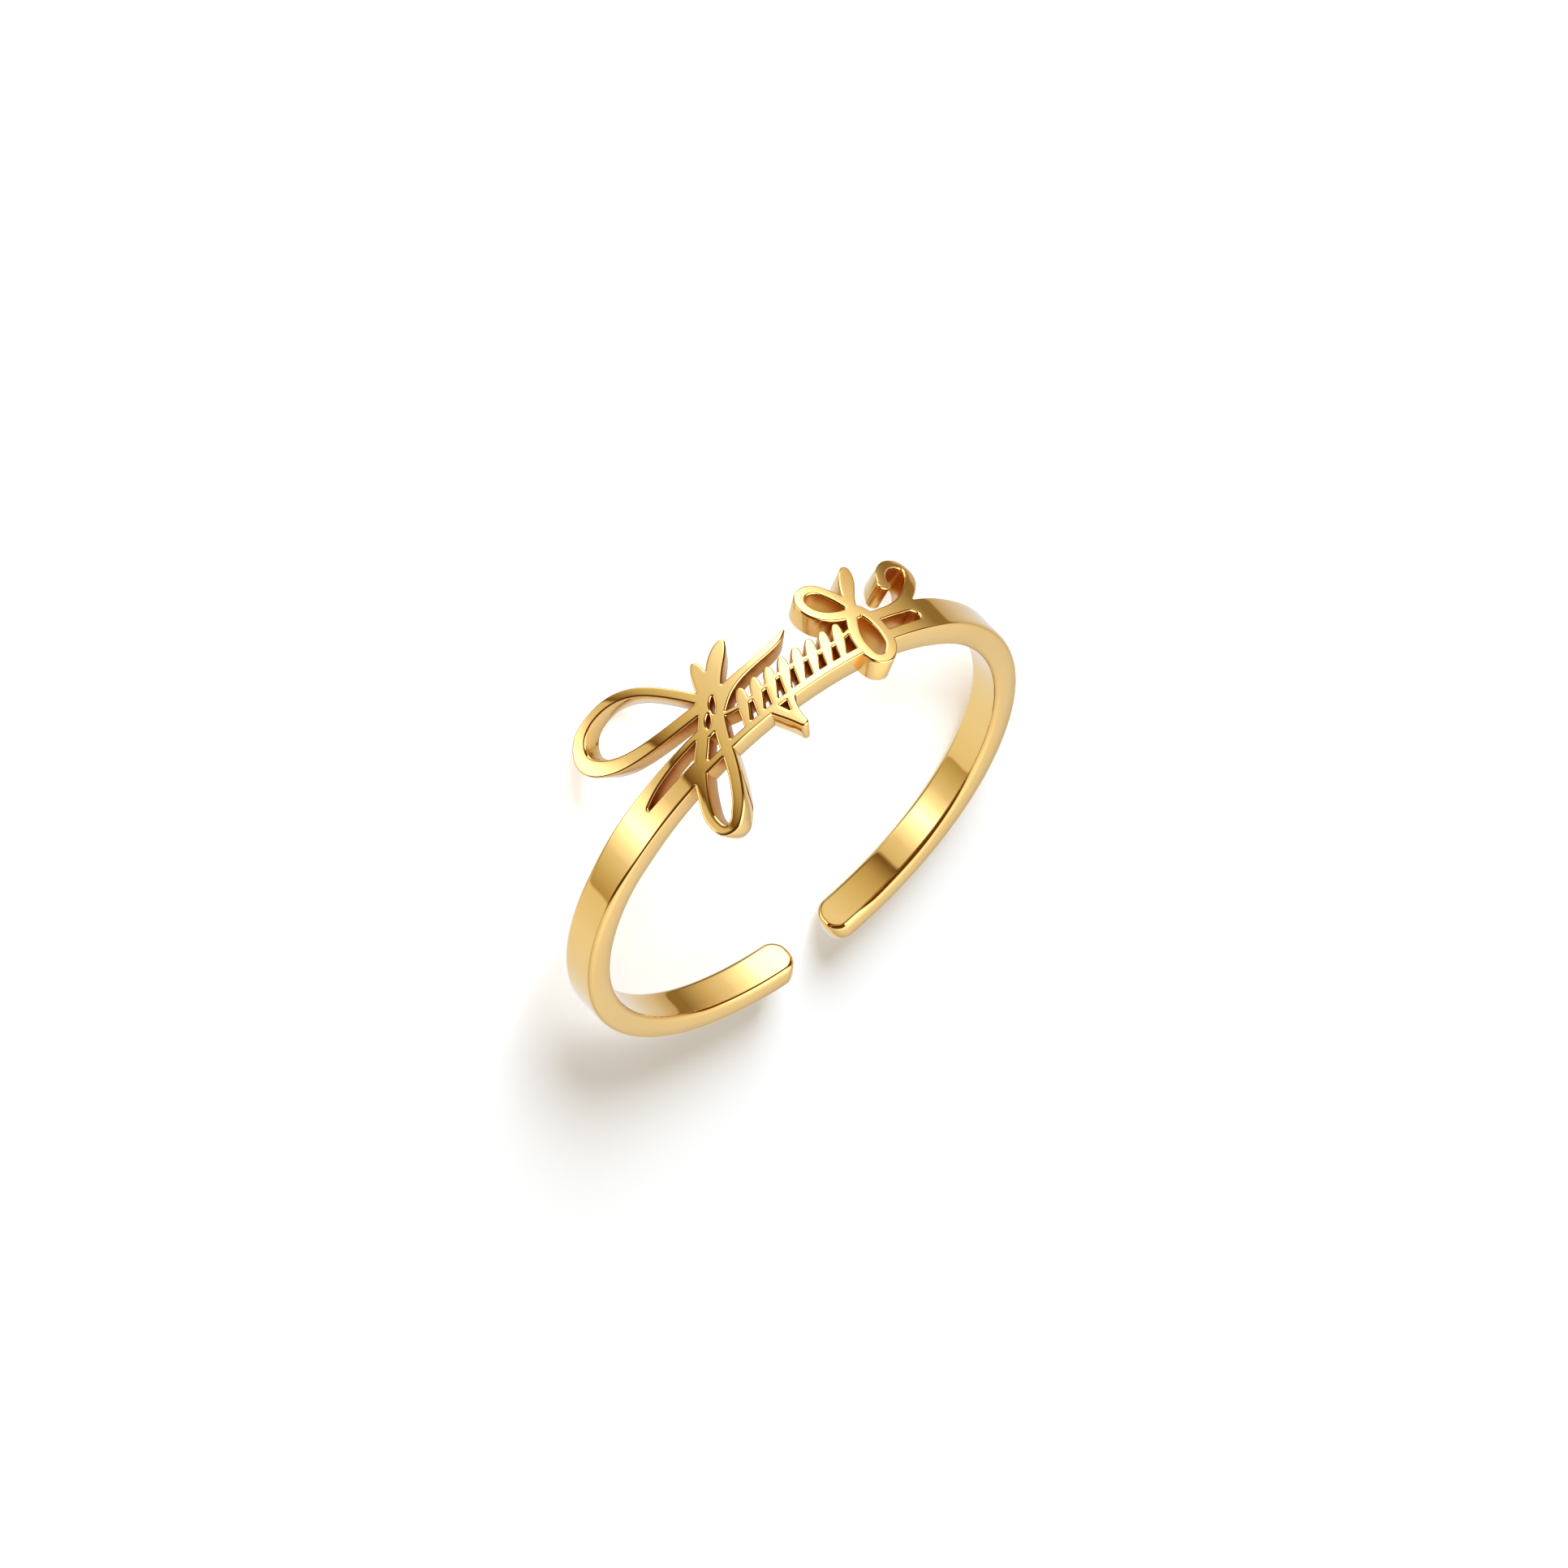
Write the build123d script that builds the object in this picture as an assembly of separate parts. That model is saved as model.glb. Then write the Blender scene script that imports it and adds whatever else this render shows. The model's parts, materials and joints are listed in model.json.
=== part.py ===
from build123d import *
import os
from math import atan, ceil, cos, degrees, hypot, pi, sin, tan

# Open ring with a pierced ornament, cut from one flat strip of gold and rolled round the finger.
# Every cut wall therefore points at the ring's axis, and the whole ring is one solid.
#
# The strip is drawn flat. "Along" runs round the outside of the ring from the middle of the
# ornament, and "across" runs parallel to the finger from the middle of the band. All sizes are mm.

# Ring
inner_diameter = 17.5
thickness = 1.0
band_width = 1.45
end_gap = 1.8
end_corner_radius = 0.66

# Reach of the ornament from the middle, measured to the middle of its ribbons
left_reach = 7.0
left_rise = 4.0
left_drop = 2.8
right_reach = 8.5
right_rise = 2.6
right_drop = 1.3

# Ribbons, and the rail that joins both halves of the ring along the front of the ornament
ribbon_width = 0.5
rail_width = 0.34
left_arm_width = 0.31
pierced_drop_width = 0.17

# Slots that fork the band at both sides of the ornament
left_slot_length = 2.9
left_slot_width = 0.48
right_slot_length = 1.95
right_slot_width = 0.46

# Leaning leaves that stand on the rail, and the vine that runs through them
leaf_pitch = 0.62
leaf_height = 1.42
leaf_tip_offset = 0.76
leaf_width = 0.46
vine_width = 0.22

# Thorn that points forward from the rail
thorn_length = 1.3
thorn_width = 1.4
thorn_along = -0.25
thorn_hole_width = 0.3
thorn_hole_length = 0.34
thorn_hole_inset = 0.08

# In every table along is a share of the reach on that side of the middle, and widths are shares of
# the width that the ribbon takes. In the tables of the two sides across is a share of the rise, or
# of the drop where it is negative.
BIG_LOOP = [
    # along, across, width
    (-0.29, 0.27, 0.90),
    (-0.36, 0.46, 0.82),
    (-0.46, 0.71, 0.77),
    (-0.55, 0.87, 0.74),
    (-0.66, 0.97, 0.72),
    (-0.79, 1.00, 0.74),
    (-0.92, 0.94, 1.02),
    (-0.98, 0.79, 1.34),
    (-0.92, 0.60, 1.22),
    (-0.78, 0.455, 1.04),
    (-0.61, 0.375, 0.97),
    (-0.44, 0.33, 0.94),
    (-0.29, 0.30, 0.90),
]
BOW = [
    # along, across, width
    (-0.231, 0.665, 0.50),
    (-0.25, 0.55, 1.16),
    (-0.30, 0.36, 1.18),
    (-0.38, 0.20, 1.02),
    (-0.48, 0.04, 1.05),
    (-0.585, -0.20, 1.10),
    (-0.665, -0.50, 0.90),
    (-0.705, -0.80, 0.86),
    (-0.665, -0.99, 0.86),
    (-0.60, -0.94, 0.94),
    (-0.50, -0.68, 0.96),
    (-0.43, -0.38, 0.96),
    (-0.38, -0.10, 1.00),
    (-0.32, 0.13, 1.04),
    (-0.25, 0.33, 1.10),
    (-0.165, 0.51, 1.28),
    (-0.10, 0.60, 1.14),
    (-0.042, 0.668, 0.50),
]
TENDRIL = [
    # along, across, width
    (-0.44, 0.10, 0.90),
    (-0.34, 0.17, 1.50),
    (-0.22, 0.27, 1.10),
    (-0.08, 0.315, 0.68),
    (0.05, 0.335, 0.62),
    (0.13, 0.36, 0.58),
    (0.19, 0.41, 0.26),
]
UPPER_PETAL = [
    # along, across, width
    (0.51, 0.38, 0.90),
    (0.415, 0.43, 0.90),
    (0.345, 0.64, 0.86),
    (0.348, 0.91, 0.84),
    (0.405, 0.98, 0.82),
    (0.475, 0.79, 0.86),
    (0.52, 0.44, 0.90),
]
LOWER_PETAL = [
    # along, across, width
    (0.51, 0.42, 0.98),
    (0.445, 0.13, 0.92),
    (0.415, -0.45, 0.88),
    (0.445, -0.96, 0.86),
    (0.505, -0.86, 0.88),
    (0.56, -0.25, 0.92),
    (0.56, 0.20, 0.96),
    (0.52, 0.42, 0.98),
]
SPEAR = [
    # along, across, width
    (0.51, 0.34, 0.96),
    (0.56, 0.68, 1.14),
    (0.615, 0.90, 1.22),
    (0.65, 1.055, 0.72),
]
SCROLL = [
    # along, across, width
    (0.56, 0.22, 0.80),
    (0.66, 0.19, 0.90),
    (0.77, 0.26, 0.94),
    (0.86, 0.40, 0.98),
    (0.935, 0.57, 1.00),
    (0.985, 0.76, 1.00),
    (0.985, 0.90, 0.92),
    (0.935, 0.97, 0.84),
    (0.86, 0.93, 0.80),
    (0.80, 0.80, 0.80),
    (0.772, 0.66, 1.06),
]
UPPER_DROP = [
    # along, across, width
    (-0.325, 0.19, 0.30),
    (-0.305, 0.25, 1.00),
    (-0.275, 0.31, 0.30),
]
LOWER_DROP = [
    # along, across, width
    (-0.395, 0.12, 0.30),
    (-0.375, 0.165, 0.90),
    (-0.35, 0.21, 0.30),
]

# Vine: height is a share of leaf_height above the rail.
VINE = [
    # along, height, width
    (-0.30, 0.74, 0.90),
    (-0.12, 0.57, 1.00),
    (0.06, 0.63, 1.00),
    (0.25, 0.53, 1.00),
    (0.42, 0.63, 1.00),
]
# One leaf: height and lean grow together from the rail to the tip.
LEAF = [
    # height, width
    (0.00, 0.60),
    (0.30, 0.82),
    (0.60, 1.00),
    (0.82, 0.88),
    (0.94, 0.60),
]
# Thorn: reach is a share of thorn_length down from the rail, drift a share of thorn_width.
THORN = [
    # reach, drift, width
    (0.00, -0.02, 1.00),
    (0.30, -0.03, 0.60),
    (0.60, 0.00, 0.38),
    (0.88, 0.04, 0.25),
]
THORN_HOLE = [
    # reach, width
    (0.00, 1.00),
    (0.50, 0.50),
    (1.00, 0.12),
]
# Slots, from the ribbon that closes them outwards: start is a share of the slot's length.
LEFT_SLOT = [
    # start, across, width
    (0.00, 0.40, 1.00),
    (0.40, 0.40, 0.86),
    (0.75, 0.30, 0.60),
    (0.98, 0.17, 0.20),
]
RIGHT_SLOT = [
    # start, across, width
    (0.00, 0.00, 1.00),
    (0.45, 0.00, 1.00),
    (0.88, 0.00, 1.00),
]

# Where straight pieces of the band, the slots and the row of leaves begin or end, along
left_band_stop = -0.50 * left_reach
left_arm_stop = -0.40 * left_reach
left_slot_stop = -0.49 * left_reach
leaves_start = -0.25 * left_reach
leaves_stop = 0.41 * right_reach
rail_stop = 0.42 * right_reach
right_band_stop = 0.56 * right_reach
right_slot_stop = 0.57 * right_reach

# Spacing of the outline points that find the floor, and how far one may lie below it
rest_spacing = 0.05
rest_tolerance = 1e-6

outer_radius = inner_diameter / 2 + thickness
half_band = band_width / 2
rail_across = rail_width / 2 - half_band
# Along, from here the band is plain
shoulder = max(left_reach, right_reach) + 2 * thickness


def plan(along, across):
    """Where a point of the flat drawing lies once rolled, seen from straight above the ornament."""
    return Vector(outer_radius * sin(along / outer_radius), across)


def along_mm(share):
    """A share of the reach, to the left where it is negative."""
    return share * (left_reach if share < 0 else right_reach)


def side_rows(table, rise, drop, width):
    """Rows in mm of a ribbon that follows the table of one side."""
    return [(along_mm(a), b * (rise if b > 0 else drop), c * width) for a, b, c in table]


def ribbon(rows, round_start=True, round_end=True):
    """Flat faces of a ribbon that follows rows of along, across and width in mm.

    It is two halves that share a straight joint, so that a ribbon may pass over itself. A rounded
    end runs smoothly on from both sides, also where they taper.
    """
    line = Spline(*rows)
    steps = 2 * (len(rows) - 1)
    left = []
    right = []
    crowns = []
    for step in range(steps + 1):
        place = line.position_at(step / steps)
        heading = line.tangent_at(step / steps)
        pace = hypot(heading.X, heading.Y)
        ahead = Vector(heading.X, heading.Y) * (place.Z / 2 / pace)
        widening = atan(heading.Z / 2 / pace)
        behind = tan(pi / 4 - widening / 2)
        before = tan(pi / 4 + widening / 2)
        left.append(plan(place.X - ahead.Y, place.Y + ahead.X))
        right.append(plan(place.X + ahead.Y, place.Y - ahead.X))
        crowns.append((plan(place.X - ahead.X * behind, place.Y - ahead.Y * behind),
                       plan(place.X + ahead.X * before, place.Y + ahead.Y * before)))
    left_side = Spline(*left)
    right_side = Spline(*right)
    middle = steps // 2
    joint = Line(left[middle], right[middle])
    start = Line(left[0], right[0])
    end = Line(left[steps], right[steps])
    if round_start:
        start = ThreePointArc(left[0], crowns[0][0], right[0])
    if round_end:
        end = ThreePointArc(left[steps], crowns[steps][1], right[steps])
    first = [start, left_side.trim(left[0], left[middle]), joint,
             right_side.trim(right[0], right[middle])]
    second = [joint, left_side.trim(left[middle], left[steps]), end,
              right_side.trim(right[middle], right[steps])]
    return [facing_out(Face(Wire(outline))) for outline in (first, second)]


def strip(start, end, low, high):
    """Straight piece of band between two places along and two across."""
    corners = [plan(start, low), plan(end, low), plan(end, high), plan(start, high)]
    return facing_out(Face(Wire(Polyline(*corners, close=True))))


def facing_out(face):
    """The flat face, turned so that it looks away from the finger."""
    return face if face.normal_at().Z > 0 else -face


def forked_band():
    """The plain band with both slots, and the rail between its halves."""
    inside = left_band_stop - left_arm_width
    pieces = [
        strip(-shoulder, left_band_stop, -half_band, half_band),
        strip(inside, left_arm_stop, half_band - left_arm_width, half_band),
        strip(inside, rail_stop, -half_band, rail_width - half_band),
        strip(right_band_stop, shoulder, -half_band, half_band),
    ]
    left_slot = [(left_slot_stop - a * left_slot_length, b * left_slot_width,
                  c * left_slot_width) for a, b, c in LEFT_SLOT]
    right_slot = [(right_slot_stop + a * right_slot_length, b * right_slot_width,
                   c * right_slot_width) for a, b, c in RIGHT_SLOT]
    return Sketch() + pieces - (ribbon(left_slot) + ribbon(right_slot))


def leaves():
    """The row of leaning leaves and the vine through them."""
    count = int((leaves_stop - leaves_start) / leaf_pitch)
    faces = ribbon([(along_mm(a), rail_across + b * leaf_height, c * vine_width) for a, b, c in VINE])
    for number in range(count):
        foot = leaves_start + number * leaf_pitch
        faces += ribbon([(foot + height * leaf_tip_offset, rail_across + height * leaf_height,
                          width * leaf_width) for height, width in LEAF])
    return faces


def thorn():
    """The thorn below the rail, and the hole through it."""
    body = [(thorn_along + drift * thorn_width, rail_across - reach * thorn_length,
             width * thorn_width) for reach, drift, width in THORN]
    hole = [(thorn_along, thorn_hole_inset - half_band - reach * thorn_hole_length,
             width * thorn_hole_width) for reach, width in THORN_HOLE]
    return ribbon(body, round_start=False), ribbon(hole, round_start=False, round_end=False)


def ornament_drawing():
    """One flat face: the ornament and the band beside it, with every opening."""
    thorn_body, thorn_hole = thorn()
    ribbons = leaves() + thorn_body
    for table in (BIG_LOOP, BOW, TENDRIL):
        ribbons += ribbon(side_rows(table, left_rise, left_drop, ribbon_width))
    for table in (UPPER_PETAL, LOWER_PETAL, SPEAR, SCROLL):
        ribbons += ribbon(side_rows(table, right_rise, right_drop, ribbon_width))
    pierced = thorn_hole
    for table in (UPPER_DROP, LOWER_DROP):
        pierced += ribbon(side_rows(table, left_rise, left_drop, pierced_drop_width))
    return forked_band() + ribbons - pierced


def rolled_ornament(drawing):
    """The drawing on the outside of the ring, made solid towards the finger."""
    length = 4 * (left_rise + left_drop + band_width)
    middle = Plane(origin=(0, -length / 2, 0), x_dir=(0, 0, -1), z_dir=(0, 1, 0))
    outside = Solid.make_cylinder(outer_radius, length, middle).faces().filter_by(GeomType.CYLINDER)[0]
    skin = outside & extrude(drawing, 2 * outer_radius, dir=(0, 0, 1))
    return Solid.thicken(skin.faces()[0], -thickness)


def plain_side(start, free_end):
    """The plain band between the ornament and a free end, swept the positive way round from start.

    Both places are angles from the middle of the ornament.
    """
    arc = pi - end_gap / 2 / outer_radius - shoulder / outer_radius
    radial = Vector(sin(start), 0, cos(start))
    middle_radius = outer_radius - thickness / 2
    place = Plane(origin=radial * middle_radius, x_dir=radial, z_dir=radial.cross(Vector(0, 1, 0)))
    side = revolve(place * Rectangle(thickness, band_width), Axis.Y, degrees(arc))
    tip = Vector(sin(free_end), 0, cos(free_end)) * middle_radius
    nearest = side.edges().sort_by(lambda edge: (edge.center() - tip).length)[:4]
    corners = [edge for edge in nearest if abs(edge.tangent_at(0.5).Y) < 0.5]
    return fillet(corners, min(end_corner_radius, 0.48 * band_width))


def holds(feet, centre):
    """Whether the centre lies straight above the triangle of three feet."""
    first, second, third = [(foot - centre) for foot in feet]
    turns = [a.X * b.Z - a.Z * b.X for a, b in ((first, second), (second, third), (third, first))]
    return min(turns) >= 0 or max(turns) <= 0


def floor_under(points, centre):
    """Up direction and one foot, when the points lie with +Y down on a floor and none is below it.

    Three feet start far out and below every point, and each round moves one of them to the point
    that lies furthest through their plane, while the centre stays between them.
    """
    far = 1000
    feet = [Vector(-far, -far, -far), Vector(far, -far, -far), Vector(0, -far, far)]
    while True:
        up = (feet[1] - feet[0]).cross(feet[2] - feet[0]).normalized()
        if up.Y > 0:
            up = -up
        lowest = min(points, key=lambda point: (point - feet[0]).dot(up))
        if (lowest - feet[0]).dot(up) > -rest_tolerance:
            return up, feet[0]
        trials = [[lowest] + feet[:dropped] + feet[dropped + 1:] for dropped in range(3)]
        feet = [trial for trial in trials if holds(trial, centre)][0]


def open_ring(drawing):
    """The whole ring round the finger's axis, which is the Y axis, with the ornament on top."""
    shoulder_turn = shoulder / outer_radius
    gap_turn = pi - end_gap / 2 / outer_radius
    right_side = plain_side(shoulder_turn, gap_turn)
    left_side = plain_side(-gap_turn, -gap_turn)
    return rolled_ornament(drawing) + right_side + left_side


def laid_down(ring):
    """The ring on its side, with its tall loops and the back edge of its band on the floor."""
    outline = []
    for edge in ring.edges():
        steps = ceil(edge.length / rest_spacing)
        outline += [edge.position_at(step / steps) for step in range(steps + 1)]
    up, foot = floor_under(outline, ring.center())
    left = Vector(-1, 0, 0)
    resting = Plane(origin=foot, x_dir=left - up * up.dot(left), z_dir=up).to_local_coords(ring)
    box = resting.bounding_box()
    return Pos(-box.center().X, -box.center().Y, -box.min.Z) * resting


drawing = ornament_drawing()
os.makedirs("parts", exist_ok=True)
export_step(laid_down(open_ring(drawing)), "parts/open_ring.step")
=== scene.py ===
import json
import math
import bpy
import numpy as np
from mathutils import Matrix, Vector, bvhtree, geometry, kdtree


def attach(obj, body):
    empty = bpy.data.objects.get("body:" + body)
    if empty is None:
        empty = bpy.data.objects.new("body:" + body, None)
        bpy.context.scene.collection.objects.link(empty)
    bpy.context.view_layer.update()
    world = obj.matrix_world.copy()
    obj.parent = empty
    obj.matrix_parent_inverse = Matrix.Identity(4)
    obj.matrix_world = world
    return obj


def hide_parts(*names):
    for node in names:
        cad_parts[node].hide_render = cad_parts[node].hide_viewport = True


# Lengths are in metres. The ring's flat drawing has "along" run round the outside of the ring and
# "across" run parallel to the finger, as in the solid.

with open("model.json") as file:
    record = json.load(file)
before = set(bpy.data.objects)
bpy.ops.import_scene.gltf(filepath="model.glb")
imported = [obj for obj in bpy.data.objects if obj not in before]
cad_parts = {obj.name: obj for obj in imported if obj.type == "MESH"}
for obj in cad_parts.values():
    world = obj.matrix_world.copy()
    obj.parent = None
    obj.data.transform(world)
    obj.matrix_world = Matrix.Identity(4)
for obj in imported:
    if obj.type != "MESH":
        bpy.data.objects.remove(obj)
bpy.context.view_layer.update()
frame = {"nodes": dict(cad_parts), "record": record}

MM = 0.001
OUTER_RADIUS = 9.75 * MM
INNER_RADIUS = 8.75 * MM
ORNAMENT_EDGE = 0.08 * MM     # rounding that polishing leaves on the ornament's edges
BAND_EDGE = 0.20 * MM         # and on the plain band's
ORNAMENT_REACH = 7.5 * MM     # along, where the rounding begins to grow from one to the other
BAND_START = 10.0 * MM        # along, where it has grown
STEP = 0.07 * MM              # spacing of points along the outlines
GRID = 0.30 * MM              # spacing of points away from the edges
GRID_ROW = 0.6 * GRID         # spacing of the rows that those lie in
CORNER = math.radians(18)     # a sharper turn than this is a corner
FAN = 0.3                     # radians at most between the points that go round a corner
# How far in from the edge rows of points lie, as shares of the rounding
ROUNDING = (0.0, 0.034, 0.134, 0.293, 0.5, 0.741, 1.0, 1.6, 2.4)
CROWN = 0.06                  # sine of the faces' lean beside the rounding, gone by the last row
SIDE_CROWN = 0.14             # sine of the sides' lean beside their edges
OWN_LEAN = math.radians(38)   # a corner leans its own way if its triangle's way is no further off

# Tolerances of the mesh
SAME_POINT = 0.0005 * MM      # points of the solid nearer than this are one
ON_FACE = 0.02 * MM           # depth below the outer face of points that still belong to it
TWIN_GAP = 0.012 * MM         # points nearer than this are thinned to one
MERGE_GAP = 1e-7              # in mm, between crossing lines of the drawing
LEAST_TURN = 1e-14            # doubled area of a triangle of the solid, in square metres
LEAST_AREA = 1e-16            # and of one of the finished ring
LEAST_LENGTH = 1e-12          # of a vector with a direction
CLEARANCE = 0.985             # share of its depth that a point has to be from every edge
LEAST_RIDGE = 0.1             # share of the rounding at which a ridge is worth a point
HALVINGS = 10                 # steps that find a ridge

# Rays that find how closed in a cut wall is, which sets how much painted shade the gold's colour gets
# there
PROBE_LEANS = (0.0, math.radians(32), math.radians(62))   # from straight out of the wall
PROBE_TURNS = tuple(math.radians(turn) for turn in range(0, 360, 60))
PROBE_LIFT = 0.01 * MM
PROBE_REACH = 2.0 * MM
PROBE_DEPTH = 0.25 * MM                                   # of their start below each face
RECESS_BLENDS = 12                                        # times that neighbours are averaged

mount = frame["record"]["mounts"][0]
CENTRE = np.array(mount["pos_m"])
ACROSS = -np.array(mount["axis"]) / np.linalg.norm(mount["axis"])
ALONG = np.cross((0.0, 1.0, 0.0), ACROSS)
ALONG /= np.linalg.norm(ALONG)
OUT = np.cross(ALONG, ACROSS)


# Outline of the ring, unrolled

def unrolled(points):
    """Along, across and radius of points of the ring."""
    offset = points - CENTRE
    x, y, z = offset @ ALONG, offset @ ACROSS, offset @ OUT
    return np.stack([np.arctan2(x, z) * OUTER_RADIUS, y, np.hypot(x, z)], 1)


def outline_loops(mesh):
    """Closed loops of (along, across) round the ring's outer face."""
    count = len(mesh.vertices)
    co = np.empty(count * 3)
    mesh.vertices.foreach_get("co", co)
    co = co.reshape(-1, 3)
    keys = np.round(co / SAME_POINT).astype(np.int64)
    _, first, same = np.unique(keys, axis=0, return_index=True, return_inverse=True)
    same = same.reshape(-1)
    flat = unrolled(co[first])
    mesh.calc_loop_triangles()
    triangles = np.array([t.vertices[:] for t in mesh.loop_triangles])
    triangles = same[triangles]
    on_face = (flat[:, 2] > OUTER_RADIUS - ON_FACE)[triangles].all(1)
    spread = np.ptp(flat[:, 0][triangles], axis=1)
    p = flat[:, :2][triangles]
    turn = np.cross(p[:, 1] - p[:, 0], p[:, 2] - p[:, 0])
    outer = triangles[on_face & (spread < math.pi * OUTER_RADIUS) & (np.abs(turn) > LEAST_TURN)]
    following = {}
    edges = set()
    for a, b, c in outer:
        edges.update(((a, b), (b, c), (c, a)))
    for a, b in edges:
        if (b, a) not in edges:
            following.setdefault(a, []).append(b)
    loops = []
    while following:
        start = next(iter(following))
        loop = [start]
        while True:
            at = loop[-1]
            onward = following[at].pop()
            if not following[at]:
                del following[at]
            if onward == start:
                break
            loop.append(onward)
        loops.append(flat[loop, :2])
    return loops


def unit(vectors):
    """The vectors at length one. One without length stays as it is."""
    return vectors / np.maximum(np.linalg.norm(vectors, axis=-1, keepdims=True), LEAST_LENGTH)


def smooth_loop(points):
    """Points STEP apart along the smooth curve through a loop, with the heading on both sides.

    Gives positions, heading on arrival and heading on departure. They differ at a corner only.
    """
    edge = np.roll(points, -1, 0) - points
    length = np.linalg.norm(edge, axis=1)
    ahead = unit(edge)
    behind = np.roll(ahead, 1, 0)
    corner = (ahead * behind).sum(1) < math.cos(CORNER)
    mean = unit(edge + np.roll(edge, 1, 0))
    leave = np.where(corner[:, None], ahead, mean)
    arrive = np.where(corner[:, None], behind, mean)
    positions, arrivals, departures = [], [], []
    for i in range(len(points)):
        j = (i + 1) % len(points)
        start, end = leave[i], arrive[j]
        chord = ahead[i]
        if corner[i] and not corner[j]:
            start = 2 * (chord @ end) * chord - end
        if corner[j] and not corner[i]:
            end = 2 * (chord @ start) * chord - start
        steps = max(1, math.ceil(length[i] / STEP))
        t = (np.arange(steps) / steps)[:, None]
        a, b = start * length[i], end * length[i]
        p, q = points[i], points[j]
        positions.append((2 * t**3 - 3 * t**2 + 1) * p + (t**3 - 2 * t**2 + t) * a
                         + (3 * t**2 - 2 * t**3) * q + (t**3 - t**2) * b)
        heading = unit((6 * t**2 - 6 * t) * (p - q) + (3 * t**2 - 4 * t + 1) * a
                       + (3 * t**2 - 2 * t) * b)
        departures.append(heading)
        arriving = heading.copy()
        arriving[0] = last_end if i else heading[0]
        arrivals.append(arriving)
        last_end = end
    arrivals[0][0] = last_end
    return np.vstack(positions), np.vstack(arrivals), np.vstack(departures)


def turned_left(v):
    """Flat directions turned by a quarter to the left."""
    return np.stack([-v[..., 1], v[..., 0]], -1)


class Outline:
    """All loops of the ring's face, resampled, with the metal to the left of every heading."""

    def __init__(self, loops):
        loops = sorted(loops, key=lambda loop: -np.ptp(loop[:, 0]))
        parts = []
        edges = []
        count = 0
        for number, loop in enumerate(loops):
            nxt = np.roll(loop, -1, 0)
            area = (loop[:, 0] * nxt[:, 1] - loop[:, 1] * nxt[:, 0]).sum()
            if (area > 0) != (number == 0):
                loop = loop[::-1]
            position, arrive, depart = smooth_loop(loop)
            size = len(position)
            index = count + np.arange(size)
            edges.append(np.stack([index, np.roll(index, -1)], 1))
            parts.append((position, arrive, depart))
            count += size
        self.position, self.arrive, self.depart = (np.vstack(p) for p in zip(*parts))
        self.edges = np.vstack(edges)
        self.next = self.edges[:, 1]
        self.last = np.empty(count, int)
        self.last[self.next] = self.edges[:, 0]
        self.span = self.position[self.next] - self.position
        self.span_squared = (self.span ** 2).sum(1)
        self.inward = turned_left(unit(self.span))
        self.tree = kdtree.KDTree(3 * count)
        for part in range(3):
            for number, (x, y) in enumerate(self.position + self.span * part / 3):
                self.tree.insert((x / MM, y / MM, 0), number)
        self.tree.balance()

    def nearest(self, points):
        """Distance to the outline, the direction to it, and whether the metal holds each point."""
        found = np.array([self.tree.find((x / MM, y / MM, 0))[1] for x, y in points])
        best = np.full(len(points), np.inf)
        gap = np.zeros((len(points), 2))
        inward = np.zeros((len(points), 2))
        for edge in (found, self.last[found], self.next[found]):
            offset = points - self.position[edge]
            along = np.clip((offset * self.span[edge]).sum(1) / self.span_squared[edge], 0, 1)
            trial = along[:, None] * self.span[edge] - offset
            squared = (trial ** 2).sum(1)
            lean = self.inward[edge]
            lean = lean + self.inward[self.next[edge]] * (along >= 1)[:, None]
            lean = lean + self.inward[self.last[edge]] * (along <= 0)[:, None]
            better = squared < best
            best = np.where(better, squared, best)
            gap[better] = trial[better]
            inward[better] = lean[better]
        return np.sqrt(best), unit(gap), (gap * inward).sum(1) < 0


def edge_radius(points):
    """Rounding of the edges near flat points."""
    grown = np.clip((np.abs(points[:, 0]) - ORNAMENT_REACH) / (BAND_START - ORNAMENT_REACH), 0, 1)
    return ORNAMENT_EDGE + (BAND_EDGE - ORNAMENT_EDGE) * grown * grown * (3 - 2 * grown)


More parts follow.
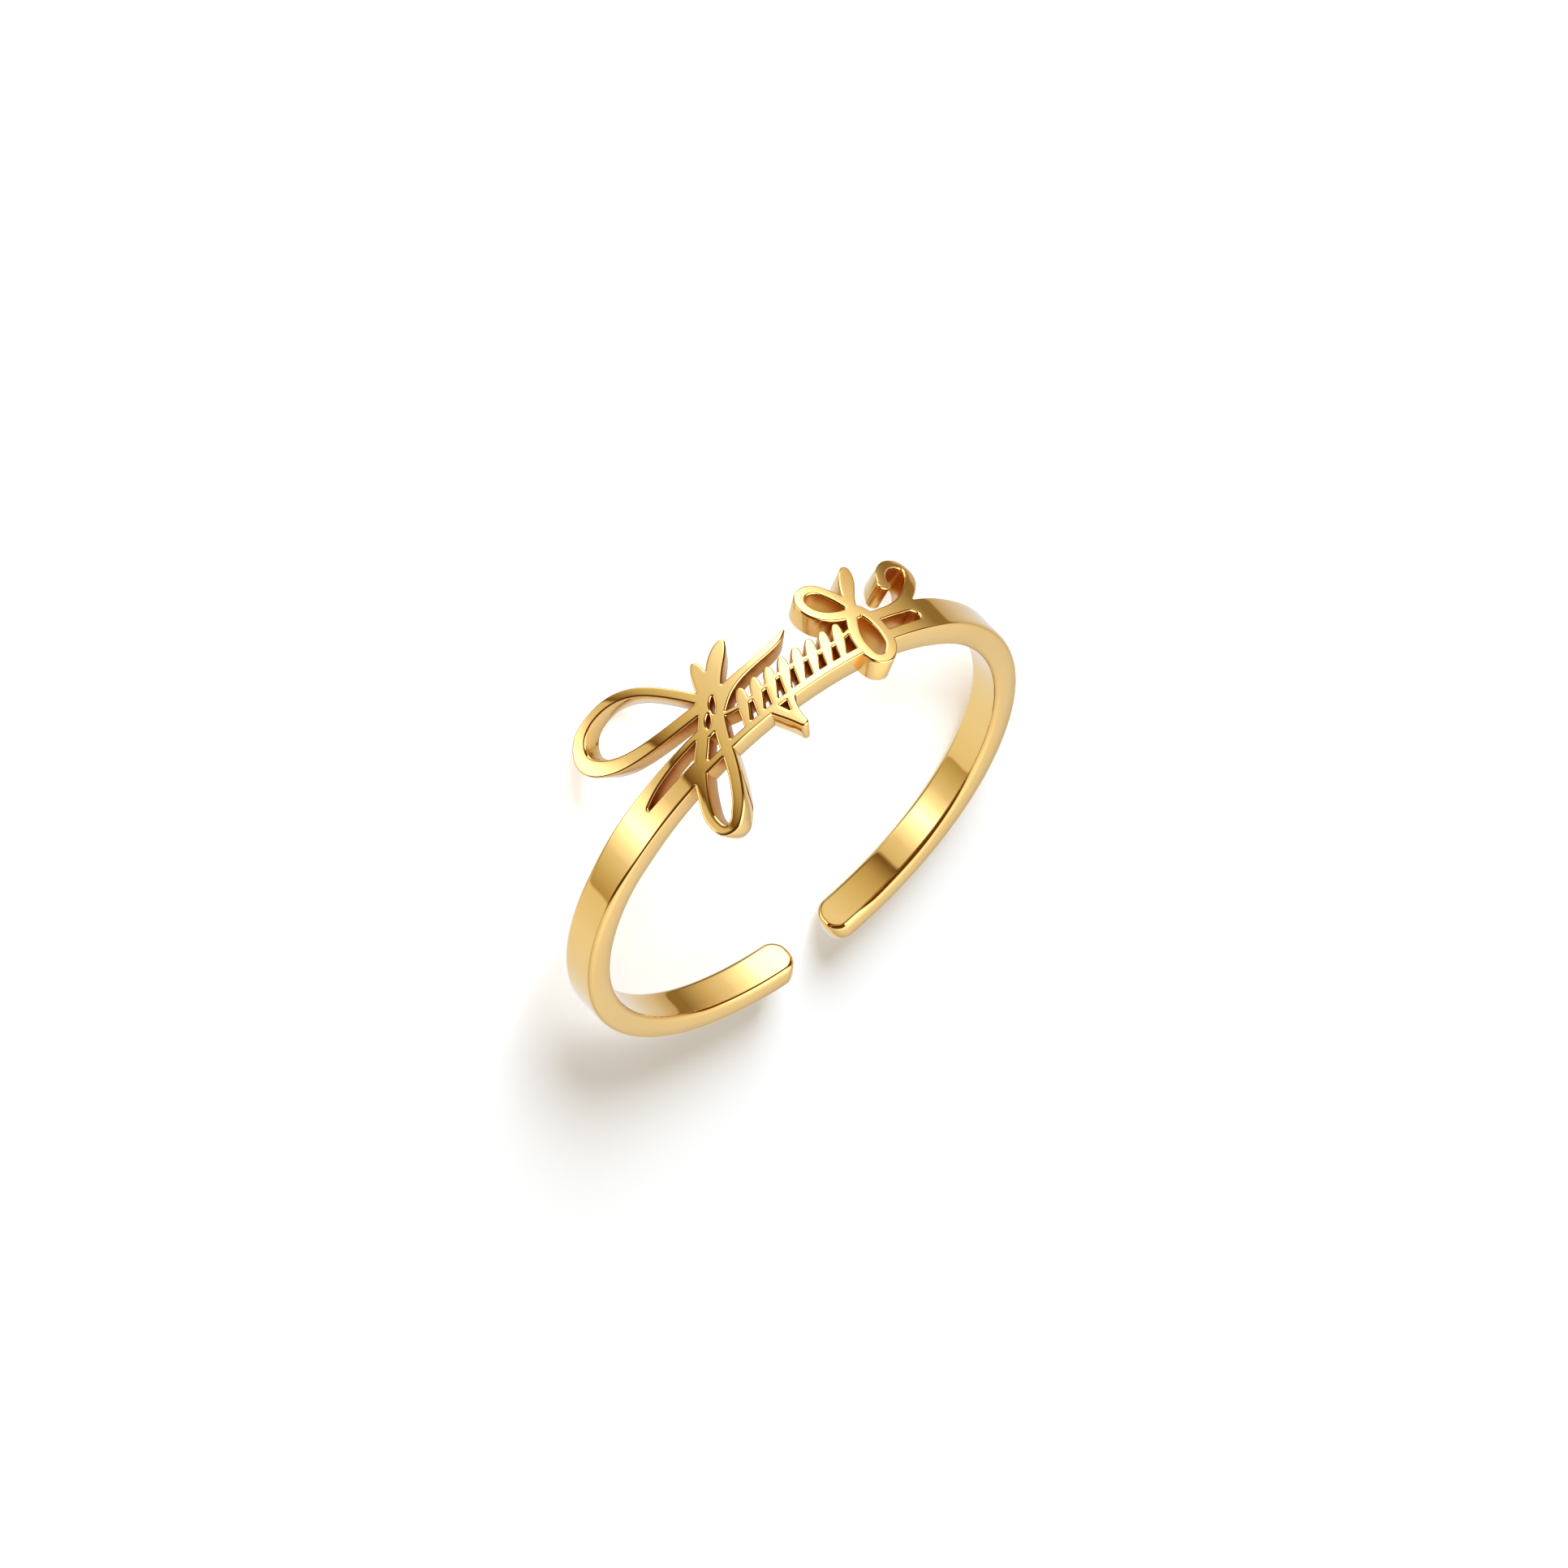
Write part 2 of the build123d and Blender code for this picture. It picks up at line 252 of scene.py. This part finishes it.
def face_points(outline):
    """Points inside the outline: rows that follow it over the rounded edge, ridges where two
    edges meet, and a plain grid. Gives positions, outward directions and distances. A ridge
    lies level, so it has no outward direction."""
    positions, outwards, distances = [], [], []
    inward = turned_left(unit(outline.arrive + outline.depart))
    sharp = (outline.arrive * outline.depart).sum(1) < math.cos(CORNER)
    side = outline.arrive[:, 0] * outline.depart[:, 1] - outline.arrive[:, 1] * outline.depart[:, 0]
    base, lean = outline.position[~sharp], inward[~sharp]
    bases, leans = [base], [lean]
    for i in np.nonzero(sharp & (side < 0))[0]:
        first, last = turned_left(outline.arrive[i]), turned_left(outline.depart[i])
        total = math.atan2(first[0] * last[1] - first[1] * last[0], first @ last)
        for part in np.linspace(0, 1, max(2, math.ceil(abs(total) / FAN))):
            c, d = math.cos(part * total), math.sin(part * total)
            bases.append(outline.position[i][None])
            leans.append(np.array([[first[0] * c - first[1] * d, first[0] * d + first[1] * c]]))
    base, lean = np.vstack(bases), np.vstack(leans)
    rounding = edge_radius(base)
    is_open = np.ones(len(base), bool)
    low, high = np.zeros(len(base)), np.zeros(len(base))
    for share in ROUNDING[1:]:
        depth = share * rounding
        trial = base + lean * depth[:, None]
        free = outline.nearest(trial)[0] > depth * CLEARANCE
        high = np.where(is_open & ~free, depth, high)
        is_open &= free
        low = np.where(is_open, depth, low)
        positions.append(trial[is_open])
        outwards.append(-lean[is_open])
        distances.append(depth[is_open])
    base, lean, rounding, low, high = (each[~is_open] for each in (base, lean, rounding, low, high))
    for _ in range(HALVINGS):
        middle = (low + high) / 2
        free = outline.nearest(base + lean * middle[:, None])[0] > middle * CLEARANCE
        low, high = np.where(free, middle, low), np.where(free, high, middle)
    ridge = low > LEAST_RIDGE * rounding
    positions.append((base + lean * low[:, None])[ridge])
    outwards.append(np.zeros((ridge.sum(), 2)))
    distances.append(low[ridge])
    low, high = outline.position.min(0), outline.position.max(0)
    x, y = np.meshgrid(np.arange(low[0], high[0], GRID), np.arange(low[1], high[1], GRID_ROW))
    grid = np.stack([x.ravel() + (np.round(y.ravel() / GRID_ROW) % 2) * GRID / 2, y.ravel()], 1)
    distance, outward, held = outline.nearest(grid)
    keep = held & (distance > ROUNDING[-1] * edge_radius(grid) + 0.5 * STEP)
    positions.append(grid[keep])
    outwards.append(outward[keep])
    distances.append(distance[keep])
    return np.vstack(positions), np.vstack(outwards), np.concatenate(distances)


def without_twins(positions, outwards, distances):
    """Drops points that lie nearer than a small gap to an earlier one."""
    cell = np.round(positions / TWIN_GAP).astype(np.int64)
    _, first = np.unique(cell, axis=0, return_index=True)
    first.sort()
    return positions[first], outwards[first], distances[first]


def triangulated(outline, positions):
    """Triangles between the outline's points, which come first, and the given points."""
    points = np.vstack([outline.position, positions])
    scale = 1 / MM
    result = geometry.delaunay_2d_cdt([Vector((x * scale, y * scale)) for x, y in points],
                                      outline.edges.tolist(), [], 0, MERGE_GAP, True)
    origin = [ids[0] if ids else -1 for ids in result[3]]
    faces = np.array([[origin[v] for v in face] for face in result[2]])
    faces = faces[(faces >= 0).all(1)]
    faces = faces[outline.nearest(points[faces].mean(1))[2]]
    corners = points[faces]
    a, b = corners[:, 1] - corners[:, 0], corners[:, 2] - corners[:, 0]
    area = a[:, 0] * b[:, 1] - a[:, 1] * b[:, 0]
    faces[area < 0] = faces[area < 0][:, ::-1]
    return points, faces[np.abs(area) > LEAST_AREA]


def on_ring(points, radius):
    """Places in the row frame of flat points at a radius."""
    turn = points[:, 0] / OUTER_RADIUS
    radial = np.sin(turn)[:, None] * ALONG + np.cos(turn)[:, None] * OUT
    return CENTRE + radial * np.asarray(radius).reshape(-1, 1) + points[:, 1:2] * ACROSS


def ring_normals(points, outward, weight, radius, facing):
    """Normals of a face that looks along facing (1 out, -1 to the finger), tipped to the edge."""
    turn = points[:, 0] / OUTER_RADIUS
    radial = np.sin(turn)[:, None] * ALONG + np.cos(turn)[:, None] * OUT
    around = np.cos(turn)[:, None] * ALONG - np.sin(turn)[:, None] * OUT
    flat = unit(outward * (OUTER_RADIUS / radius, 1))
    tipped = flat[:, :1] * around + flat[:, 1:] * ACROSS
    weight = weight[:, None]
    return unit(facing * radial * np.sqrt(1 - weight ** 2) + tipped * weight)


def recess_shade(points, outward, radius, tree):
    """How closed in each cut wall is, from 0 in the open to 1 deep in a narrow slot, which sets how much
    painted shade its colour gets.
    """
    places = on_ring(points, radius)
    ahead = ring_normals(points, outward, np.ones(len(points)), radius, 1)
    turn = points[:, 0] / OUTER_RADIUS
    radial = np.sin(turn)[:, None] * ALONG + np.cos(turn)[:, None] * OUT
    beside = np.cross(ahead, radial)
    occlusion = np.zeros(len(points))
    for lean in PROBE_LEANS:
        for turned in PROBE_TURNS if lean else (0.0,):
            way = math.sin(lean) * (math.cos(turned) * beside + math.sin(turned) * radial)
            way = way + math.cos(lean) * ahead
            starts = (places + ahead * PROBE_LIFT) / MM
            for number, (start, towards) in enumerate(zip(starts, way)):
                if tree.ray_cast(Vector(start), Vector(towards), PROBE_REACH / MM)[0]:
                    occlusion[number] += 1
    return occlusion / (1 + (len(PROBE_LEANS) - 1) * len(PROBE_TURNS))


def build_ring(outline):
    """The ring's finer mesh: both rounded faces, the walls between them and their normals."""
    positions, outwards, distances = without_twins(*face_points(outline))
    points, faces = triangulated(outline, positions)
    rim = len(outline.position)
    distance = np.concatenate([np.zeros(rim), distances])
    leave_out = -turned_left(outline.depart)
    arrive_out = -turned_left(outline.arrive)
    outward = np.vstack([unit(leave_out + arrive_out), outwards])
    rounding = edge_radius(points)
    share = np.clip(1 - distance / rounding, 0, 1)
    drop = rounding * (1 - np.sqrt(1 - share ** 2))

    crown = CROWN * np.clip((ROUNDING[-1] - distance / rounding) / (ROUNDING[-1] - 1), 0, 1) ** 2
    own = outward[faces]
    side_weight = math.sqrt(1 - SIDE_CROWN ** 2)
    weight = np.minimum(share + (1 - share) * crown, side_weight)[faces]
    local = outline.nearest(points[faces].mean(1))[1]
    agree = (own * local[:, None, :]).sum(2) > math.cos(OWN_LEAN)
    agree |= (own == 0).all(2)
    used = np.where(agree[:, :, None], own, local[:, None, :]).reshape(-1, 2)

    vertices, polygons, normals = [], [], []
    count = len(points)
    corner = points[faces].reshape(-1, 2)
    for number, (radius, facing) in enumerate(((OUTER_RADIUS, 1), (INNER_RADIUS, -1))):
        vertices.append(on_ring(points, radius - facing * drop))
        n = ring_normals(corner, used, weight.reshape(-1), radius, facing).reshape(-1, 3, 3)
        f = faces + number * count
        if facing < 0:
            f, n = f[:, ::-1], n[:, ::-1]
        polygons += f.tolist()
        normals.append(n.reshape(-1, 3))
    a, b = outline.edges[:, 0], outline.edges[:, 1]
    walls = np.stack([a, a + count, b + count, b], 1)
    flat = (leave_out[a], leave_out[a], arrive_out[b], arrive_out[b])
    radii = (OUTER_RADIUS, INNER_RADIUS, INNER_RADIUS, OUTER_RADIUS)
    ends = (a, a, b, b)
    facings = (1, -1, -1, 1)
    across_wall = np.full(len(a), side_weight)
    n = np.stack([ring_normals(points[e], o, across_wall, r, f)
                  for e, o, r, f in zip(ends, flat, radii, facings)], 1)
    polygons += walls.tolist()
    normals.append(n.reshape(-1, 3))

    mesh = bpy.data.meshes.new("gold_ring")
    mesh.from_pydata(np.vstack(vertices).tolist(), [], polygons)
    mesh.polygons.foreach_set("use_smooth", np.ones(len(polygons), bool))
    mesh.normals_split_custom_set(np.vstack(normals).tolist())
    mesh.update()
    tree = bvhtree.BVHTree.FromPolygons((np.vstack(vertices) / MM).tolist(), polygons)
    # How closed in each wall is, kept on the mesh as the mask of the painted shade in the gold's colour
    occlusion = np.zeros(2 * count)
    for first, radius in ((0, OUTER_RADIUS - PROBE_DEPTH), (count, INNER_RADIUS + PROBE_DEPTH)):
        depth = recess_shade(points[:rim], outward[:rim], radius, tree)
        for _ in range(RECESS_BLENDS):
            depth = (depth[outline.last] + 2 * depth + depth[outline.next]) / 4
        occlusion[first:first + rim] = depth
    mesh.attributes.new("recess_shade", "FLOAT", "POINT").data.foreach_set("value", occlusion)
    ring = bpy.data.objects.new("gold_ring", mesh)
    bpy.context.scene.collection.objects.link(ring)
    return ring


outline = Outline(outline_loops(frame["nodes"]["open_ring"].data))
ring = build_ring(outline)
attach(ring, "root")
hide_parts("open_ring")


# Materials

class Nodes:
    """Adds nodes to a tree and joins them in one line each."""

    def __init__(self, tree):
        self.tree = tree
        tree.nodes.clear()

    def add(self, kind, values=(), **settings):
        node = self.tree.nodes.new(kind)
        for name, value in settings.items():
            setattr(node, name, value)
        for name, value in dict(values).items():
            socket = node.inputs[name]
            if isinstance(value, bpy.types.NodeSocket):
                self.tree.links.new(value, socket)
            else:
                socket.default_value = value
        return node

    def math(self, operation, *values):
        return self.add("ShaderNodeMath", dict(enumerate(values)), operation=operation).outputs[0]

    def between(self, value, low, high, **settings):
        limits = {"Value": value, "From Min": low, "From Max": high}
        return self.add("ShaderNodeMapRange", limits, **settings).outputs[0]

    def ramp(self, factor, stops):
        node = self.add("ShaderNodeValToRGB", {"Fac": factor})
        elements = node.color_ramp.elements
        while len(elements) < len(stops):
            elements.new(0.5)
        for element, (place, _) in zip(elements, stops):
            element.position = place
        for element, (_, colour) in zip(elements, stops):
            element.color = (*colour, 1)
        return node.outputs["Color"]

    def mix(self, factor, a, b, blend="MIX"):
        node = self.add("ShaderNodeMix", data_type="RGBA", blend_type=blend)
        slots = [s for s in node.inputs if s.enabled]
        for socket, value in zip(slots, (factor, a, b)):
            if isinstance(value, bpy.types.NodeSocket):
                self.tree.links.new(value, socket)
            else:
                socket.default_value = value
        return [o for o in node.outputs if o.enabled][0]


CLOUD = {"Scale": 260.0, "Detail": 3.0, "Roughness": 0.5}
GRAIN = {"Scale": 9000.0, "Detail": 2.0, "Roughness": 0.6}
WAVE = {"Scale": 420.0, "Detail": 1.0, "Roughness": 0.4}
CLOUD_RANGE = (0.30, 0.70)                                  # of the cloud noise, over which it acts
GOLD = ((0.955, 0.625, 0.222), (0.985, 0.672, 0.252))       # at both ends of that range
POLISH = (0.030, 0.060)                                     # roughness at both ends
RECESS_SHADE_COLOUR = (0.66, 0.285, 0.05, 1.0)                        # painted shade: the redder, darker gold of walls that are closed in
RECESS_SHADE_RANGE = (0.12, 0.75)                                   # of how closed in it is, over which the painted shade grows
DEEP_ROUGHNESS = 0.42                                       # added where the painted shade is
GRAIN_SHARE = 0.012                                         # of the wave's height
BUMP = {"Strength": 0.35, "Distance": 0.03 * MM}


def gold_material():
    """Polished gold, faintly clouded, wavy and grainy, with painted shade where a wall is closed in: its
    colour redder and darker there, and rougher.
    """
    material = bpy.data.materials.new("polished_gold")
    material.use_nodes = True
    n = Nodes(material.node_tree)
    place = n.add("ShaderNodeTexCoord").outputs["Object"]
    cloud, grain, wave = (n.add("ShaderNodeTexNoise", {"Vector": place, **noise}).outputs["Fac"]
                          for noise in (CLOUD, GRAIN, WAVE))
    occlusion = n.add("ShaderNodeAttribute", attribute_name="recess_shade").outputs["Fac"]
    polished = n.ramp(cloud, list(zip(CLOUD_RANGE, GOLD)))
    # Painted shade: walls that are closed in get a redder, darker gold, standing in for the shade and
    # gold-on-gold reflection in the slots
    depth = n.between(occlusion, *RECESS_SHADE_RANGE)
    colour = n.mix(depth, polished, RECESS_SHADE_COLOUR)
    smooth = n.add("ShaderNodeMapRange", {"Value": cloud, "From Min": CLOUD_RANGE[0],
                                          "From Max": CLOUD_RANGE[1], "To Min": POLISH[0],
                                          "To Max": POLISH[1]}).outputs[0]
    rough = n.math("ADD", smooth, n.math("MULTIPLY", depth, DEEP_ROUGHNESS))
    height = n.math("ADD", wave, n.math("MULTIPLY", grain, GRAIN_SHARE))
    bump = n.add("ShaderNodeBump", {"Height": height, **BUMP})
    shader = n.add("ShaderNodeBsdfPrincipled", {"Base Color": colour, "Roughness": rough,
                                                "Metallic": 1.0, "Normal": bump.outputs[0]})
    n.add("ShaderNodeOutputMaterial", {"Surface": shader.outputs[0]})
    return material


FLOOR_NOISE = {"Scale": 6.0, "Detail": 2.0}
FLOOR_TONES = [
    # noise, colour
    (0.2, (0.952, 0.946, 0.926)),
    (0.8, (0.960, 0.954, 0.936)),
]
FLOOR_MATTNESS = 0.9
FLOOR_SHINE = 0.1
FLOOR_SIZE = 6.0              # metres, far past the picture's edges


def floor_material():
    """Plain matt white with a hardly visible drift of tone."""
    material = bpy.data.materials.new("pale_floor")
    material.use_nodes = True
    n = Nodes(material.node_tree)
    place = n.add("ShaderNodeTexCoord").outputs["Object"]
    noise = n.add("ShaderNodeTexNoise", {"Vector": place, **FLOOR_NOISE})
    colour = n.ramp(noise.outputs["Fac"], FLOOR_TONES)
    shader = n.add("ShaderNodeBsdfPrincipled", {"Base Color": colour, "Roughness": FLOOR_MATTNESS,
                                                "Specular IOR Level": FLOOR_SHINE})
    n.add("ShaderNodeOutputMaterial", {"Surface": shader.outputs[0]})
    return material


ring.data.materials.append(gold_material())

bpy.ops.mesh.primitive_plane_add(size=FLOOR_SIZE, location=(0, 0, 0))
floor = bpy.context.object
floor.name = "floor"
floor.data.materials.append(floor_material())
floor.visible_glossy = False


# Studio that the metal mirrors

# What the polished metal sees round the ring below the horizon, to the left and right of the side
# that the ornament faces: degrees round from it, and a colour as a multiple of studio white.
AROUND_LEFT = [
    # degrees, red, green, blue
    (180, 1.05, 1.10, 1.25),
    (140, 1.00, 1.08, 1.25),
    (118, 0.90, 0.90, 0.95),
    (104, 0.70, 0.60, 0.50),
    (102.5, 0.35, 0.25, 0.10),
    (94, 0.35, 0.26, 0.12),
    (76, 0.85, 0.75, 0.60),
    (63, 1.12, 1.10, 1.10),
    (52, 1.90, 1.90, 2.00),
    (44, 3.80, 3.80, 4.00),
    (30, 4.60, 4.60, 4.80),
    (15, 3.40, 3.40, 3.60),
    (10, 1.55, 1.60, 1.80),
    (0, 1.12, 1.15, 1.20),
]
AROUND_RIGHT = [
    # degrees, red, green, blue
    (0, 1.12, 1.15, 1.20),
    (16, 0.90, 0.85, 0.65),
    (26, 0.68, 0.58, 0.36),
    (35.5, 0.20, 0.10, 0.02),
    (37, 0.90, 0.83, 0.65),
    (46, 1.08, 1.06, 1.02),
    (54, 1.90, 1.90, 2.00),
    (62, 3.60, 3.60, 3.80),
    (69, 1.80, 1.80, 1.90),
    (77, 1.05, 1.02, 0.95),
    (84, 0.85, 0.80, 0.58),
    (94.5, 0.60, 0.48, 0.24),
    (95.7, 1.02, 0.98, 0.86),
    (120, 1.10, 1.12, 1.10),
    (150, 1.05, 1.10, 1.15),
    (180, 1.05, 1.10, 1.25),
]
# How much of that is left further down, by degrees down.
DOWN = [
    # degrees, share
    (0, 1.00),
    (37, 1.00),
    (42, 0.55),
    (90, 0.42),
]
# What it sees above the horizon, by degrees up, on the ornament's side, on the right and on the
# far side.
ABOVE_FRONT = [
    # degrees, red, green, blue
    (0, 0.14, 0.07, 0.02),
    (18, 0.18, 0.09, 0.03),
    (25, 0.90, 0.80, 0.55),
    (31, 3.00, 3.00, 3.00),
    (60, 3.00, 3.00, 3.00),
    (90, 1.80, 1.80, 1.80),
]
ABOVE_RIGHT = [
    # degrees, red, green, blue
    (0, 0.10, 0.05, 0.02),
    (68, 0.16, 0.08, 0.02),
    (76, 0.80, 0.60, 0.38),
    (82, 1.70, 1.70, 1.70),
    (90, 1.80, 1.80, 1.80),
]
ABOVE_BACK = [
    # degrees, red, green, blue
    (0, 0.74, 0.72, 0.66),
    (13, 0.99, 1.00, 1.02),
    (24, 1.12, 1.12, 1.14),
    (34, 1.25, 1.25, 1.25),
    (44, 1.45, 1.45, 1.45),
    (90, 1.80, 1.80, 1.80),
]
RIGHT_EDGE = (2, 10)          # degrees round to the right, from the front's table to the right's
BACK_EDGE = (92, 103)         # degrees round, from those tables to the back's
DOWN_EDGE = (112, 135)        # degrees round, from where that share holds to where all is left
HORIZON = (-9.0, -4.0)        # degrees up, from what lies below to what lies above
BRIGHTEST = 5.0               # a level above all in the tables, as they are held as shares of it
STUDIO_WHITE = 0.80
SHELL_RADIUS = 105 * MM


def studio_light():
    """A shell round the ring that only the metal sees, coloured by direction from its middle."""
    material = bpy.data.materials.new("mirrored_studio")
    material.use_nodes = True
    n = Nodes(material.node_tree)
    place = n.add("ShaderNodeTexCoord").outputs["Object"]
    direction = n.add("ShaderNodeVectorMath", {0: place}, operation="NORMALIZE").outputs[0]
    x, y, z = n.add("ShaderNodeSeparateXYZ", {"Vector": direction}).outputs
    turn = n.math("DIVIDE", n.math("ARCTAN2", x, n.math("MULTIPLY", y, -1.0)), math.pi)
    turned = n.math("ABSOLUTE", turn)
    rise = n.math("DIVIDE", n.math("ARCSINE", z), math.pi / 2)
    up = n.math("MAXIMUM", rise, 0.0)
    down = n.math("MAXIMUM", n.math("MULTIPLY", rise, -1.0), 0.0)

    def coloured(share, table, span):
        rows = sorted(table)
        return n.ramp(share, [(d / span, tuple(c / BRIGHTEST for c in rgb)) for d, *rgb in rows])

    def between(value, low, high, span):
        return n.between(value, low / span, high / span, interpolation_type="SMOOTHSTEP")

    is_right = n.math("GREATER_THAN", turn, 0.0)
    around = n.mix(is_right, coloured(turned, AROUND_LEFT, 180), coloured(turned, AROUND_RIGHT, 180))
    kept = n.ramp(down, [(d / 90, (share, share, share)) for d, share in DOWN])
    kept = n.mix(between(turned, *DOWN_EDGE, 180), kept, (1.0, 1.0, 1.0, 1.0))
    below = n.mix(1.0, around, kept, blend="MULTIPLY")
    front, right, back = (coloured(up, table, 90)
                          for table in (ABOVE_FRONT, ABOVE_RIGHT, ABOVE_BACK))
    above = n.mix(between(turn, *RIGHT_EDGE, 180), front, right)
    above = n.mix(between(turned, *BACK_EDGE, 180), above, back)
    seen = n.mix(between(rise, *HORIZON, 90), below, above)
    glow = n.add("ShaderNodeEmission", {"Color": seen, "Strength": BRIGHTEST * STUDIO_WHITE})
    n.add("ShaderNodeOutputMaterial", {"Surface": glow.outputs[0]})

    bpy.ops.mesh.primitive_uv_sphere_add(segments=64, ring_count=32, radius=SHELL_RADIUS, location=CENTRE)
    shell = bpy.context.object
    shell.name = "mirrored_studio"
    shell.data.materials.append(material)
    for ray in ("camera", "diffuse", "shadow", "transmission", "volume_scatter"):
        setattr(shell, "visible_" + ray, False)


def plain_world():
    """Even, slightly warm light from everywhere, which is all that reaches into the shadow."""
    world = bpy.data.worlds.new("studio")
    bpy.context.scene.world = world
    world.use_nodes = True
    n = Nodes(world.node_tree)
    plain = n.add("ShaderNodeBackground", {"Color": (*WORLD_COLOUR, 1.0), "Strength": WORLD_LIGHT})
    n.add("ShaderNodeOutputWorld", {"Surface": plain.outputs[0]})


def key_light(azimuth, elevation, spread, strength):
    """A wide soft light from one side, in degrees, that casts the shadow and is unseen in the metal."""
    data = bpy.data.lights.new("key_light", "SUN")
    data.angle = math.radians(spread)
    data.energy = strength
    data.color = KEY_COLOUR
    light = bpy.data.objects.new("key_light", data)
    a, e = math.radians(azimuth), math.radians(elevation)
    away = Vector((math.sin(a) * math.cos(e), -math.cos(a) * math.cos(e), math.sin(e)))
    light.rotation_mode = "QUATERNION"
    light.rotation_quaternion = away.to_track_quat("Z", "Y")
    light.location = away * SHELL_RADIUS
    light.visible_glossy = False
    bpy.context.scene.collection.objects.link(light)


def fill_light():
    """A soft pool of light from above on the floor inside the ring, that casts no shadow."""
    data = bpy.data.lights.new("fill_light", "SPOT")
    data.spot_size = 2 * math.atan2(FILL_REACH, FILL_HEIGHT)
    data.spot_blend = 1.0
    data.energy = FILL_POWER
    data.use_shadow = False
    light = bpy.data.objects.new("fill_light", data)
    light.location = (*FILL_PLACE, FILL_HEIGHT)
    light.visible_glossy = False
    bpy.context.scene.collection.objects.link(light)


WORLD_LIGHT = 0.61
WORLD_COLOUR = (1.0, 0.90, 0.78)
KEY_COLOUR = (0.74, 0.86, 1.0)
FILL_PLACE = (0.0, -2.0 * MM)
FILL_HEIGHT = 90 * MM
FILL_REACH = 15.5 * MM        # of the pool of light on the floor, from its middle
FILL_POWER = 0.17             # watts
studio_light()
plain_world()
key_light(azimuth=-9, elevation=19, spread=21, strength=6.4)
fill_light()


# Camera

# Place of the camera from the middle of the finger hole, and its picture's right and up, each in
# shares along, across and out.
CAMERA_PLACE = np.array([-151.68, -225.71, 501.06]) * MM
PICTURE_RIGHT = np.array([0.76949, -0.63634, -0.05429])
PICTURE_UP = np.array([0.58019, 0.66099, 0.47588])
SENSOR_WIDTH = 36.0           # mm
FOCAL_SHARE = 20000 / 1932    # focal length over the picture's width, both in its pixels
NEAREST = 0.01
FURTHEST = 20.0


def in_row(shares):
    return Vector((shares[0] * ALONG + shares[1] * ACROSS + shares[2] * OUT).tolist())


right = in_row(PICTURE_RIGHT).normalized()
up = in_row(PICTURE_UP)
up = (up - right * up.dot(right)).normalized()
camera_data = bpy.data.cameras.new("camera")
camera = bpy.data.objects.new("camera", camera_data)
bpy.context.scene.collection.objects.link(camera)
bpy.context.scene.camera = camera
camera.matrix_world = Matrix.Translation(Vector(CENTRE.tolist()) + in_row(CAMERA_PLACE)) @ Matrix(
    (right, up, right.cross(up))).transposed().to_4x4()
camera_data.sensor_width = SENSOR_WIDTH
camera_data.lens = SENSOR_WIDTH * FOCAL_SHARE
camera_data.clip_start = NEAREST
camera_data.clip_end = FURTHEST

view = bpy.context.scene.view_settings
view.view_transform = "Standard"
view.look = "None"
